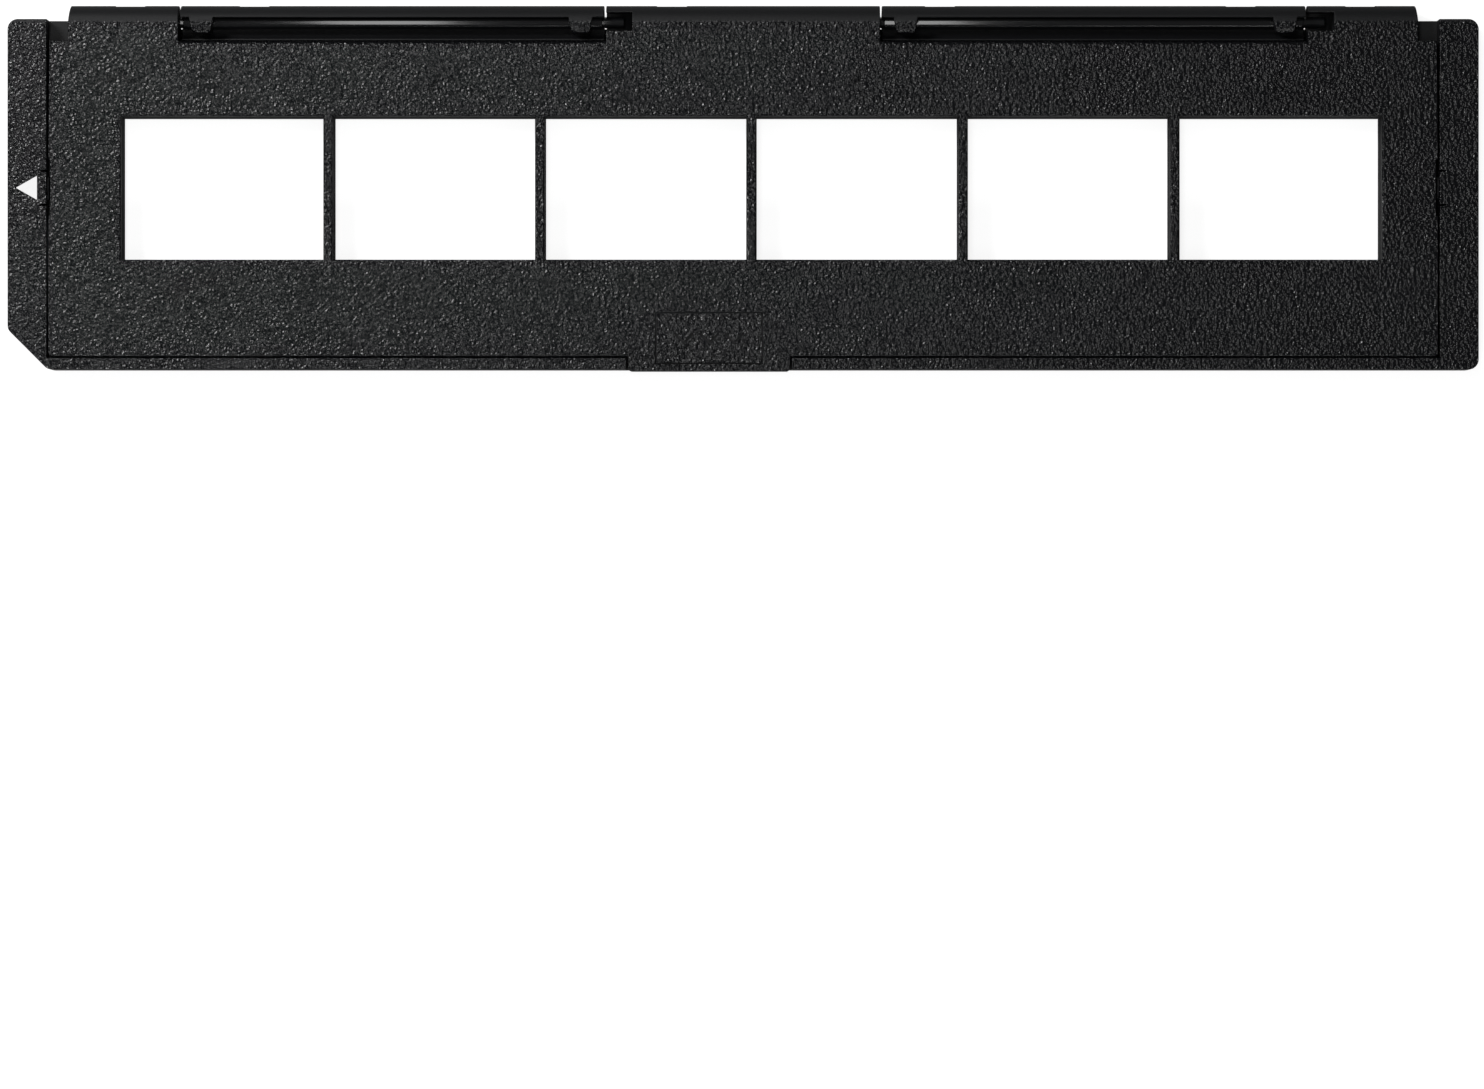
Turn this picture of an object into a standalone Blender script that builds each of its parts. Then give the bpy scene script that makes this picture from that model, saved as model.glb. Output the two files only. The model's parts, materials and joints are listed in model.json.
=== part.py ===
"""Negative carrier for one strip of six 35 mm frames: a base tray, a hinged lid and two hinge rods.

Metres, +Z up. X runs along the film and +Y is the hinge side. The origin is at the bottom centre of the
whole carrier. Every y in this file is measured from the centreline of the windows, and the parts hang
from one empty that puts that line in its place.
"""

import math

import bmesh
import bpy
from mathutils import Matrix, Vector

MM = 0.001

# Film
FRAME_COUNT = 6
FRAME_PITCH = 38.0 * MM  # eight perforations
FILM_WIDTH = 35.0 * MM
FILM_SIDE_PLAY = 0.15 * MM  # between an edge of the film and a guide
PERFORATION_PITCH = 4.75 * MM

# Stack of heights, from the underside of the tray to the top of the lid
FLOOR = 2.0 * MM
TRAY_LAND = 0.9 * MM  # raised land of the tray that carries the film
FILM_GAP = 0.3 * MM
LID_LAND = 0.8 * MM  # raised land of the lid that holds the film flat
LID_PLATE = 2.0 * MM

# Windows
STRIP_SHIFT = 1.5 * MM  # the strip of frames lies this far to the right of the middle
WINDOW_HEIGHT = 25.55 * MM  # across the film, in the tray
TRAY_RIB = 1.9 * MM  # bar of the tray between two windows
WINDOW_STEP = 0.1 * MM  # the lid's windows are larger by this on every side
LAND_BORDER = 3.2 * MM  # land beyond the windows of the tray, across the film
LAND_END_BORDER = 6.0 * MM  # land beyond the outermost windows, along the film

# Plan of the tray
END_LAND = 18.0 * MM  # from the end of the six frames to the end of the tray, as the mean of the two ends
END_MARGIN = 7.0 * MM
FRONT_REACH = 32.6 * MM  # from the window centreline to the front edge
FRONT_RIM = 2.1 * MM
BACK_EDGE_PAST_AXIS = 0.4 * MM
CORNER_RADIUS = 1.8 * MM
CORNER_CUT = 7.2 * MM  # slanted corner that shows which way round the carrier goes

# Lid
SEAM = 0.3 * MM  # between the lid and the tray, all round and under the lid
SKIRT = 1.5 * MM
LID_CORNER_RADIUS = 0.7 * MM
TAB_CENTRE = -6.1 * MM
TAB_WIDTH = 29.1 * MM
TAB_PROUD = 0.3 * MM  # past the front edge of the tray
PAD_WIDTH = 19.3 * MM
PAD_LENGTH = 9.3 * MM
PAD_SETBACK = 1.3 * MM  # from the front edge of the tab
PAD_DEPTH = 0.3 * MM

# Hinge
HINGE_REACH = 29.9 * MM  # from the window centreline to the hinge axis
MIDDLE_KNUCKLE = 49.2 * MM
CRADLE_LENGTH = 76.1 * MM
END_KNUCKLE = 19.9 * MM
KNUCKLE_GAP = 0.35 * MM
LID_CUTBACK = 3.5 * MM  # from the hinge axis to the lid's edge between the knuckles
FLOOR_CLEARANCE = 0.4 * MM  # between the floor and a turning knuckle
FLOOR_EDGE = 0.3 * MM  # thickness of the floor's edge, hollowed out below the knuckles
CRADLE_WALL = 0.3 * MM  # front wall of a cradle, at the height of the hinge axis
CRADLE_WALL_TOP = 2.6 * MM
TROUGH_INSET = 1.0 * MM  # from the hinge axis to the lowest part of the trough beside a rod
ROD_DIAMETER = 2.6 * MM
PIN_DIAMETER = 2.0 * MM
PIN_LENGTH = 3.9 * MM
ROD_CLEARANCE = 0.3 * MM
PIN_END_GAP = 0.4 * MM
SLOT_WIDTH = 3.4 * MM
SLOT_LENGTH = 4.7 * MM
LIP_PAST_AXIS = 0.8 * MM  # from the axis to the inner edge of the cradle's outer lip
HOOK_WIDTH = 4.4 * MM  # at its root on the outer lip
HOOK_TIP_WIDTH = 3.2 * MM
HOOK_TIP_RADIUS = 0.7 * MM
HOOK_WRAP = 0.4 * MM  # thickness of a hook's tip, inboard of the rod's channel
HOOK_INSETS = (4.25 * MM, 3.75 * MM)  # from the inner and the outer end of a cradle to a hook's middle

# Film guides and perforation pegs
GUIDE_LENGTH = 5.0 * MM
GUIDE_WIDTH = 1.4 * MM
PEG_DIAMETER = 1.2 * MM
PEG_HEIGHT = 0.7 * MM
PEG_ROW = 14.5 * MM
PEG_CLEARANCE = 0.3 * MM

# Latches at the two ends
LATCH_RECESS_LENGTH = 10.0 * MM
LATCH_RECESS_DEPTH = 0.35 * MM
LATCH_TONGUE = 6.1 * MM
LATCH_SLIT = 0.3 * MM
LATCH_SLIT_REACH = 1.1 * MM
LATCH_SLIT_FLOOR = 0.5 * MM  # from the floor to the foot of a slit
BUMP_LENGTH = 4.0 * MM
BUMP_DEPTH = 0.3 * MM
BUMP_HEIGHT = 0.8 * MM

# Worked out from the sizes above
HEIGHT = FLOOR + TRAY_LAND + FILM_GAP + LID_LAND + LID_PLATE
FILM_PLANE = FLOOR + TRAY_LAND
LID_UNDERSIDE = HEIGHT - LID_PLATE
LID_FOOT = FLOOR + SEAM
HALF_LENGTH = FRAME_COUNT * FRAME_PITCH / 2 + END_LAND
HALF_POCKET = HALF_LENGTH - END_MARGIN
HALF_LID = HALF_POCKET - SEAM
WINDOW_LENGTH = FRAME_PITCH - TRAY_RIB
RIM_INSIDE = -FRONT_REACH + FRONT_RIM
LID_FRONT = RIM_INSIDE + SEAM
TAB_FRONT = -FRONT_REACH - TAB_PROUD
BARREL_RADIUS = HEIGHT / 2
AXIS_HEIGHT = BARREL_RADIUS
LID_BACK = HINGE_REACH - LID_CUTBACK
KNUCKLE_SWEEP = BARREL_RADIUS + FLOOR_CLEARANCE
FLOOR_BACK = HINGE_REACH - KNUCKLE_SWEEP
FLOOR_TIP = HINGE_REACH - math.sqrt(KNUCKLE_SWEEP ** 2 - (AXIS_HEIGHT - FLOOR_EDGE) ** 2)
CRADLE_FRONT = LID_BACK + SEAM
ROD_CHANNEL = ROD_DIAMETER / 2 + ROD_CLEARANCE
HALF_MIDDLE = MIDDLE_KNUCKLE / 2
CRADLE_START = HALF_MIDDLE + KNUCKLE_GAP
CRADLE_END = CRADLE_START + CRADLE_LENGTH
END_KNUCKLE_START = CRADLE_END + KNUCKLE_GAP
END_KNUCKLE_END = END_KNUCKLE_START + END_KNUCKLE
LAND_HALF_LENGTH = FRAME_COUNT * FRAME_PITCH / 2 - TRAY_RIB / 2 + LAND_END_BORDER
LAND_HALF_WIDTH = WINDOW_HEIGHT / 2 + LAND_BORDER
GUIDE_INSIDE = FILM_WIDTH / 2 + FILM_SIDE_PLAY
CENTRELINE_Y = (-TAB_FRONT - HINGE_REACH - BARREL_RADIUS) / 2  # centres the whole carrier on the origin

OVER = 1.0 * MM  # how far a cutter runs past the faces that it opens
SINK = 0.5 * MM  # how far a joined shape is sunk into the part
JOIN_OVERLAP = 0.1 * MM  # how far two cutters of one opening run into each other
ROUND_STEPS = 6
BARREL_SIDES = 48
PEG_SIDES = 12

TRAY_COLOUR = (0.028, 0.029, 0.033, 1.0)
LID_COLOUR = (0.026, 0.027, 0.031, 1.0)
ROD_COLOUR = (0.018, 0.019, 0.022, 1.0)


def clear_scene():
    """Removes whatever objects the file opened with."""
    for item in list(bpy.data.objects):
        bpy.data.objects.remove(item, do_unlink=True)


def plastic(name, colour, roughness):
    """A moulded plastic."""
    material = bpy.data.materials.new(name)
    material.use_nodes = True
    shader = material.node_tree.nodes["Principled BSDF"]
    shader.inputs["Base Color"].default_value = colour
    shader.inputs["Roughness"].default_value = roughness
    shader.inputs["Metallic"].default_value = 0.0
    return material


def move_to(item, collection):
    """Takes an object out of its collections and puts it in one."""
    for owner in list(item.users_collection):
        owner.objects.unlink(item)
    collection.objects.link(item)


def hang(item, name, collection):
    """Names an object, files it in a collection and hangs it from the carrier's empty."""
    item.name = name
    move_to(item, collection)
    item.parent = bpy.data.objects[ROOT_NAME]
    return item


def box(name, x, y, z):
    """A box between two values along each axis."""
    centre = [(low + high) / 2 for low, high in (x, y, z)]
    bpy.ops.mesh.primitive_cube_add(size=1, location=centre)
    item = bpy.context.active_object
    item.scale = [high - low for low, high in (x, y, z)]
    bpy.ops.object.transform_apply(location=False, rotation=False, scale=True)
    return hang(item, name, CUTTERS)


def rod_shape(name, radius, x, sides=BARREL_SIDES):
    """A cylinder on the hinge axis, between two values of x."""
    centre = ((x[0] + x[1]) / 2, HINGE_REACH, AXIS_HEIGHT)
    bpy.ops.mesh.primitive_cylinder_add(vertices=sides, radius=radius, depth=x[1] - x[0], location=centre)
    item = bpy.context.active_object
    item.rotation_euler.y = math.pi / 2
    return hang(item, name, CUTTERS)


def peg_shape(name, x, y):
    """An upright peg on the film land."""
    low = FILM_PLANE - SINK
    high = FILM_PLANE + PEG_HEIGHT
    bpy.ops.mesh.primitive_cylinder_add(
        vertices=PEG_SIDES, radius=PEG_DIAMETER / 2, depth=high - low, location=(x, y, (low + high) / 2)
    )
    return hang(bpy.context.active_object, name, CUTTERS)


def rounded_corner(before, corner, after, radius):
    """The points of the arc that rounds one corner of an outline."""
    to_before = (before - corner).normalized()
    to_after = (after - corner).normalized()
    half_angle = to_before.angle(to_after) / 2
    reach = radius / math.tan(half_angle)
    centre = corner + (to_before + to_after).normalized() * radius / math.sin(half_angle)
    start = corner + to_before * reach - centre
    end = corner + to_after * reach - centre
    chord = [start.lerp(end, step / ROUND_STEPS) for step in range(ROUND_STEPS + 1)]
    return [centre + point.normalized() * radius for point in chord]


def outline(corners):
    """The points of a closed outline, from its corners given as (x, y, radius)."""
    places = [Vector(corner[:2]) for corner in corners]
    points = []
    for index, (x, y, radius) in enumerate(corners):
        if radius > 0:
            following = places[(index + 1) % len(places)]
            points += rounded_corner(places[index - 1], places[index], following, radius)
        else:
            points.append(places[index])
    return points


def plate(name, points, low, high):
    """A flat plate of a closed outline, between two heights, as a welded mesh."""
    curve = bpy.data.curves.new(name, "CURVE")
    curve.dimensions = "2D"
    curve.fill_mode = "BOTH"
    curve.extrude = (high - low) / 2
    spline = curve.splines.new("POLY")
    spline.points.add(len(points) - 1)
    for target, point in zip(spline.points, points):
        target.co = (point.x, point.y, 0, 1)
    spline.use_cyclic_u = True
    drawn = bpy.data.objects.new(name + "_outline", curve)
    drawn.location.z = (low + high) / 2
    CARRIER.objects.link(drawn)
    bpy.context.view_layer.update()
    evaluated = drawn.evaluated_get(bpy.context.evaluated_depsgraph_get())
    mesh = bpy.data.meshes.new_from_object(evaluated)
    welded = bmesh.new()
    welded.from_mesh(mesh)
    bmesh.ops.remove_doubles(welded, verts=welded.verts, dist=0.001 * MM)
    welded.to_mesh(mesh)
    welded.free()
    item = bpy.data.objects.new(name, mesh)
    item.matrix_world = drawn.matrix_world.copy()
    bpy.data.objects.remove(drawn)
    CARRIER.objects.link(item)
    return hang(item, name, CARRIER)


def combine(part, operation, shapes):
    """Joins shapes to a part, or cuts them out of it, with one Boolean on a collection of them."""
    group = bpy.data.collections.new(f"{part.name}_{operation.lower()}_{len(part.modifiers)}")
    CUTTERS.children.link(group)
    for shape in shapes:
        move_to(shape, group)
        shape.hide_render = True
        shape.display_type = "WIRE"
    boolean = part.modifiers.new(group.name, "BOOLEAN")
    boolean.operation = operation
    boolean.operand_type = "COLLECTION"
    boolean.collection = group
    boolean.solver = "EXACT"


def set_origin(part, point):
    """Moves a part's origin to a point and leaves its shape where it is."""
    part.data.transform(Matrix.Translation(part.location - Vector(point)))
    part.location = point


def finish(part, material):
    """Gives a part its material and smooth shading on its round faces."""
    part.data.materials.append(material)
    part.data.shade_smooth()
    part.data.set_sharp_from_angle(angle=math.radians(30))


def mirrored(x):
    """The same range of x on the other side of the middle."""
    return (-x[1], -x[0])


def both_ends(x):
    """A range of x on the right and its mirror image on the left."""
    return {"right": x, "left": mirrored(x)}


def rib_places():
    """The x of each bar between two windows, and of the two ends of the strip."""
    return [STRIP_SHIFT + (index - FRAME_COUNT / 2) * FRAME_PITCH for index in range(FRAME_COUNT + 1)]


def window_places():
    """The x of each window's middle."""
    return [STRIP_SHIFT + (index + 0.5 - FRAME_COUNT / 2) * FRAME_PITCH for index in range(FRAME_COUNT)]


def land_box(name, z):
    """The raised land round the windows, which the film lies on or is held down by."""
    across = (STRIP_SHIFT - LAND_HALF_LENGTH, STRIP_SHIFT + LAND_HALF_LENGTH)
    return box(name, across, (-LAND_HALF_WIDTH, LAND_HALF_WIDTH), z)


def window_cutters(owner, length, height, z):
    """One opening for each frame of the strip."""
    cutters = []
    for index, x in enumerate(window_places()):
        across = (x - length / 2, x + length / 2)
        cutters.append(box(f"{owner}_window_{index + 1}", across, (-height / 2, height / 2), z))
    return cutters


def hook_places():
    """The x of each rod hook's middle, on the right half."""
    return (CRADLE_START + HOOK_INSETS[0], CRADLE_END - HOOK_INSETS[1])


def tray_hinge_shapes():
    """The two cradles that hold the rods: a barrel on a strip of floor, with a low wall in front."""
    shapes = []
    for side, x in both_ends((CRADLE_START, CRADLE_END)).items():
        shapes.append(rod_shape(f"cradle_barrel_{side}", BARREL_RADIUS, x))
        shapes.append(box(f"cradle_floor_{side}", x, (FLOOR_BACK - SINK, HINGE_REACH), (0, FLOOR)))
        shapes.append(box(f"cradle_wall_{side}", x, (CRADLE_FRONT, HINGE_REACH), (0, CRADLE_WALL_TOP)))
    return shapes


def trough_section():
    """The section of the trough in front of a rod, as (y, z): a quarter of an ellipse under the hinge axis."""
    lowest = HINGE_REACH - TROUGH_INSET
    reach = lowest - CRADLE_FRONT - CRADLE_WALL
    depth = ROD_CHANNEL - JOIN_OVERLAP
    angles = [math.radians(180 + 90 * step / ROUND_STEPS) for step in range(ROUND_STEPS + 1)]
    curve = [Vector((lowest + reach * math.cos(a), AXIS_HEIGHT + depth * math.sin(a))) for a in angles]
    return curve + [Vector((HINGE_REACH, AXIS_HEIGHT - depth)), Vector((HINGE_REACH, AXIS_HEIGHT))]


def along_hinge(name, section, x):
    """A bar of a closed section given as (y, z), between two values of x."""
    bar = plate(name, section, -(x[1] - x[0]) / 2, (x[1] - x[0]) / 2)
    bar.rotation_euler = (math.pi / 2, 0, math.pi / 2)
    bar.location.x = (x[0] + x[1]) / 2
    return bar


def opening_outline(x, hooks):
    """The plan of one cradle's open top, whose outer side runs round the hooks."""
    inner = FLOOR_BACK - OVER
    tip = HINGE_REACH - ROD_CHANNEL - HOOK_WRAP
    lip = HINGE_REACH + LIP_PAST_AXIS
    corners = [(x[1], inner, 0), (x[1], lip, 0)]
    for middle in sorted(hooks, reverse=True):
        corners += [
            (middle + HOOK_WIDTH / 2, lip, 0),
            (middle + HOOK_TIP_WIDTH / 2, tip, HOOK_TIP_RADIUS),
            (middle - HOOK_TIP_WIDTH / 2, tip, HOOK_TIP_RADIUS),
            (middle - HOOK_WIDTH / 2, lip, 0),
        ]
    corners += [(x[0], lip, 0), (x[0], inner, 0)]
    return outline(corners)


def tray_hinge_cutters():
    """Each rod's channel, the trough beside it, and the opening above it between the hooks."""
    cutters = []
    cradle = (CRADLE_START - JOIN_OVERLAP, CRADLE_END + JOIN_OVERLAP)
    for side, x in both_ends(cradle).items():
        sign = 1 if x[0] > 0 else -1
        hooks = [sign * place for place in hook_places()]
        cutters.append(rod_shape(f"rod_channel_{side}", ROD_CHANNEL, x))
        cutters.append(along_hinge(f"rod_trough_{side}", trough_section(), x))
        opening_z = (CRADLE_WALL_TOP, HEIGHT + OVER)
        cutters.append(plate(f"rod_opening_{side}", opening_outline(x, hooks), *opening_z))
    return cutters


def film_guides():
    """Blocks on both sides of the film at every rib, and pegs that enter its perforations."""
    shapes = []
    top = LID_UNDERSIDE - SEAM
    for index, x in enumerate(rib_places()):
        along = (x - GUIDE_LENGTH / 2, x + GUIDE_LENGTH / 2)
        for side, sign in (("back", 1), ("front", -1)):
            near = sign * GUIDE_INSIDE
            far = sign * (GUIDE_INSIDE + GUIDE_WIDTH)
            across = (min(near, far), max(near, far))
            shapes.append(box(f"guide_{side}_{index + 1}", along, across, (FLOOR - SINK, top)))
            peg_x = x + PERFORATION_PITCH / 2
            shapes.append(peg_shape(f"peg_{side}_{index + 1}", peg_x, sign * PEG_ROW))
    return shapes


def latch_bumps():
    """The ridge on each end margin that the lid's end snaps past."""
    middle = (LID_FOOT + HEIGHT) / 2
    z = (middle - BUMP_HEIGHT / 2, middle + BUMP_HEIGHT / 2)
    y = (-BUMP_LENGTH / 2, BUMP_LENGTH / 2)
    ends = both_ends((HALF_POCKET - BUMP_DEPTH, HALF_POCKET + SINK))
    return [box(f"latch_bump_{side}", x, y, z) for side, x in ends.items()]


def latch_slits():
    """The two slits that free each latch's tongue from its margin."""
    slits = []
    z = (FLOOR + LATCH_SLIT_FLOOR, HEIGHT + OVER)
    for side, x in both_ends((HALF_POCKET - OVER, HALF_POCKET + LATCH_SLIT_REACH)).items():
        for name, y in (("back", LATCH_TONGUE / 2), ("front", -LATCH_TONGUE / 2)):
            slits.append(box(f"latch_slit_{side}_{name}", x, (y - LATCH_SLIT / 2, y + LATCH_SLIT / 2), z))
    return slits


def make_tray(material):
    """The base: floor, rim and margins round the lid, film land, guides, latches and rod cradles."""
    back = HINGE_REACH + BACK_EDGE_PAST_AXIS
    corners = [
        (-HALF_LENGTH + CORNER_CUT, -FRONT_REACH, CORNER_RADIUS),
        (HALF_LENGTH, -FRONT_REACH, CORNER_RADIUS),
        (HALF_LENGTH, back, CORNER_RADIUS),
        (-HALF_LENGTH, back, CORNER_RADIUS),
        (-HALF_LENGTH, -FRONT_REACH + CORNER_CUT, CORNER_RADIUS),
    ]
    tray = plate("tray", outline(corners), 0, HEIGHT)

    above_floor = (FLOOR, HEIGHT + OVER)
    tab_half = TAB_WIDTH / 2 + SEAM
    hinge_bay = END_KNUCKLE_END + KNUCKLE_GAP
    combine(tray, "DIFFERENCE", [
        box("lid_pocket", (-HALF_POCKET, HALF_POCKET), (RIM_INSIDE, back + OVER), above_floor),
        box("tab_gap", (TAB_CENTRE - tab_half, TAB_CENTRE + tab_half), (TAB_FRONT - OVER, 0), above_floor),
        box("hinge_bay", (-hinge_bay, hinge_bay), (FLOOR_TIP, back + OVER), (-OVER, HEIGHT + OVER)),
        rod_shape("knuckle_sweep", KNUCKLE_SWEEP, (-hinge_bay, hinge_bay)),
    ])

    land = land_box("film_land", (FLOOR - SINK, FILM_PLANE))
    combine(tray, "UNION", [land] + tray_hinge_shapes() + film_guides() + latch_bumps())

    windows = window_cutters("tray", WINDOW_LENGTH, WINDOW_HEIGHT, (-OVER, HEIGHT))
    combine(tray, "DIFFERENCE", windows + tray_hinge_cutters() + latch_slits())
    finish(tray, material)
    return tray


def knuckle_ranges():
    """The x of the lid's three knuckles."""
    end = (END_KNUCKLE_START, END_KNUCKLE_END)
    return {"left": mirrored(end), "middle": (-HALF_MIDDLE, HALF_MIDDLE), "right": end}


def knuckle_shapes():
    """Each knuckle: a barrel on the hinge axis and the web that joins it to the lid."""
    shapes = []
    for name, x in knuckle_ranges().items():
        shapes.append(rod_shape(f"knuckle_{name}", BARREL_RADIUS, x))
        web_y = (LID_BACK - SINK, HINGE_REACH)
        shapes.append(box(f"knuckle_web_{name}", x, web_y, (LID_UNDERSIDE, HEIGHT)))
    return shapes


def pin_seats():
    """A blind bore for each rod's left pin, and an open slot for its right pin."""
    seats = []
    bore_radius = PIN_DIAMETER / 2 + ROD_CLEARANCE
    pin_depth = PIN_LENGTH + PIN_END_GAP
    slot_y = (HINGE_REACH - SLOT_WIDTH / 2, HINGE_REACH + SLOT_WIDTH / 2)
    slot_z = (AXIS_HEIGHT - bore_radius, HEIGHT + OVER)
    for rod, x in both_ends((CRADLE_START, CRADLE_END)).items():
        bore_end = x[0] - pin_depth
        seats.append(rod_shape(f"pin_bore_{rod}", bore_radius, (bore_end, x[0])))
        slot_start = x[1]
        slot_end = slot_start + KNUCKLE_GAP + SLOT_LENGTH
        seats.append(box(f"pin_slot_{rod}", (slot_start, slot_end), slot_y, slot_z))
    return seats


def peg_pockets():
    """Room in the lid's land for the tray's pegs."""
    pockets = []
    half = PEG_DIAMETER / 2 + PEG_CLEARANCE
    z = (LID_FOOT, LID_UNDERSIDE)
    for index, rib in enumerate(rib_places()):
        x = rib + PERFORATION_PITCH / 2
        for side, y in (("back", PEG_ROW), ("front", -PEG_ROW)):
            across = (y - half, y + half)
            pockets.append(box(f"peg_pocket_{side}_{index + 1}", (x - half, x + half), across, z))
    return pockets


def make_lid(material):
    """The lid: plate and skirt, film land, finger tab and hinge knuckles, turning on the hinge axis."""
    tab = (TAB_CENTRE - TAB_WIDTH / 2, TAB_CENTRE + TAB_WIDTH / 2)
    corners = [
        (-HALF_LID, LID_FRONT, LID_CORNER_RADIUS),
        (tab[0], LID_FRONT, 0),
        (tab[0], TAB_FRONT, LID_CORNER_RADIUS),
        (tab[1], TAB_FRONT, LID_CORNER_RADIUS),
        (tab[1], LID_FRONT, 0),
        (HALF_LID, LID_FRONT, LID_CORNER_RADIUS),
        (HALF_LID, LID_BACK, 0),
        (-HALF_LID, LID_BACK, 0),
    ]
    lid = plate("lid", outline(corners), LID_FOOT, HEIGHT)

    inside = HALF_LID - SKIRT
    hollow = (LID_FOOT - OVER, LID_UNDERSIDE)
    recess_y = (-LATCH_RECESS_LENGTH / 2, LATCH_RECESS_LENGTH / 2)
    recess_z = (LID_FOOT - OVER, HEIGHT + OVER)
    recesses = both_ends((HALF_LID - LATCH_RECESS_DEPTH, HALF_LID + OVER))
    combine(lid, "DIFFERENCE", [
        box("lid_hollow", (-inside, inside), (LID_FRONT + SKIRT, LID_BACK - SKIRT), hollow)
    ] + [box(f"latch_recess_{side}", x, recess_y, recess_z) for side, x in recesses.items()])

    land = land_box("pressing_land", (LID_UNDERSIDE - LID_LAND, LID_UNDERSIDE + SINK))
    combine(lid, "UNION", [land] + knuckle_shapes())

    pad_x = (TAB_CENTRE - PAD_WIDTH / 2, TAB_CENTRE + PAD_WIDTH / 2)
    pad_front = TAB_FRONT + PAD_SETBACK
    pad = box("finger_pad", pad_x, (pad_front, pad_front + PAD_LENGTH), (HEIGHT - PAD_DEPTH, HEIGHT + OVER))
    window_size = (WINDOW_LENGTH + 2 * WINDOW_STEP, WINDOW_HEIGHT + 2 * WINDOW_STEP)
    windows = window_cutters("lid", *window_size, (FLOOR, HEIGHT + OVER))
    combine(lid, "DIFFERENCE", windows + pin_seats() + peg_pockets() + [pad])

    set_origin(lid, (0, HINGE_REACH, AXIS_HEIGHT))
    finish(lid, material)
    return lid


def make_rod(name, x, material):
    """A hinge rod with a thinner pin at each end, turned about its own length."""
    half_body = (x[1] - x[0]) / 2 - KNUCKLE_GAP
    half_whole = half_body + PIN_LENGTH
    profile = [
        (0, half_whole),
        (PIN_DIAMETER / 2, half_whole),
        (PIN_DIAMETER / 2, half_body),
        (ROD_DIAMETER / 2, half_body),
        (ROD_DIAMETER / 2, -half_body),
        (PIN_DIAMETER / 2, -half_body),
        (PIN_DIAMETER / 2, -half_whole),
        (0, -half_whole),
    ]
    mesh = bpy.data.meshes.new(name)
    edges = [(index, index + 1) for index in range(len(profile) - 1)]
    mesh.from_pydata([(radius, 0, along) for radius, along in profile], edges, [])
    rod = bpy.data.objects.new(name, mesh)
    rod.location = ((x[0] + x[1]) / 2, HINGE_REACH, AXIS_HEIGHT)
    rod.rotation_euler.y = math.pi / 2
    CARRIER.objects.link(rod)
    hang(rod, name, CARRIER)
    screw = rod.modifiers.new("turned", "SCREW")
    screw.axis = "Z"
    screw.steps = BARREL_SIDES // 2
    screw.render_steps = BARREL_SIDES // 2
    screw.use_merge_vertices = True
    screw.merge_threshold = 0.01 * MM
    screw.use_smooth_shade = True
    rod.data.materials.append(material)
    return rod


def main():
    """Builds the carrier."""
    make_tray(plastic("tray_plastic", TRAY_COLOUR, 0.5))
    make_lid(plastic("lid_plastic", LID_COLOUR, 0.5))
    rod_material = plastic("rod_plastic", ROD_COLOUR, 0.22)
    for side, x in both_ends((CRADLE_START, CRADLE_END)).items():
        make_rod(f"hinge_rod_{side}", x, rod_material)


ROOT_NAME = "carrier_centreline"
clear_scene()
CARRIER = bpy.data.collections.new("negative_carrier")
CUTTERS = bpy.data.collections.new("cutters")
for collection in (CARRIER, CUTTERS):
    bpy.context.scene.collection.children.link(collection)
root = bpy.data.objects.new(ROOT_NAME, None)
root.location.y = CENTRELINE_Y
CARRIER.objects.link(root)
main()
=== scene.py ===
"""The looks of a negative carrier for one strip of six 35 mm frames.

Two grained black mouldings, a tray and the lid that is hinged to it, with two glossy hinge rods. Everything is
in metres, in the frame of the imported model. Places are worked out from that model, and the few that it doesn't
hold are named below.
"""

import json
import math

import bmesh
import bpy
from mathutils import Matrix, Vector


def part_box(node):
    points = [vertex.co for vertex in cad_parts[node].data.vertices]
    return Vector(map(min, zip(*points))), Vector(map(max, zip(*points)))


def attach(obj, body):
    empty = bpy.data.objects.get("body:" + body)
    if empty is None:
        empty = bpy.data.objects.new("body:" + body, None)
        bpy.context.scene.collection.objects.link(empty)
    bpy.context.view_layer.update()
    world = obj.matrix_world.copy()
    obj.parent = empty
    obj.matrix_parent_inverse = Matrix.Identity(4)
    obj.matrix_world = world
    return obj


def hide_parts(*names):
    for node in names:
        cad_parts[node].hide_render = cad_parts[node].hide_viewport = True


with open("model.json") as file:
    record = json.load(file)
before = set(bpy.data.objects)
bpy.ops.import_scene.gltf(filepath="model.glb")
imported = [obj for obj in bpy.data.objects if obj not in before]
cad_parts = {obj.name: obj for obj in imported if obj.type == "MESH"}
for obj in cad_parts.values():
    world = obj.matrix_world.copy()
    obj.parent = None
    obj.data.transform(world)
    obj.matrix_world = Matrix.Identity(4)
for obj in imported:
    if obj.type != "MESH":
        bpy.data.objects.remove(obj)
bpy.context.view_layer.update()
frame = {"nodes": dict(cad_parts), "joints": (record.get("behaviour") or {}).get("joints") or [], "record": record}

bl_info = {
    "name": "Negative Carrier",
    "version": (1, 0, 0),
    "blender": (4, 5, 0),
    "location": "View3D > Sidebar > Carrier",
    "description": "Builds the finished surfaces of a hinged film carrier on its packed model",
    "category": "Add Mesh",
}

MM = 0.001

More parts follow.
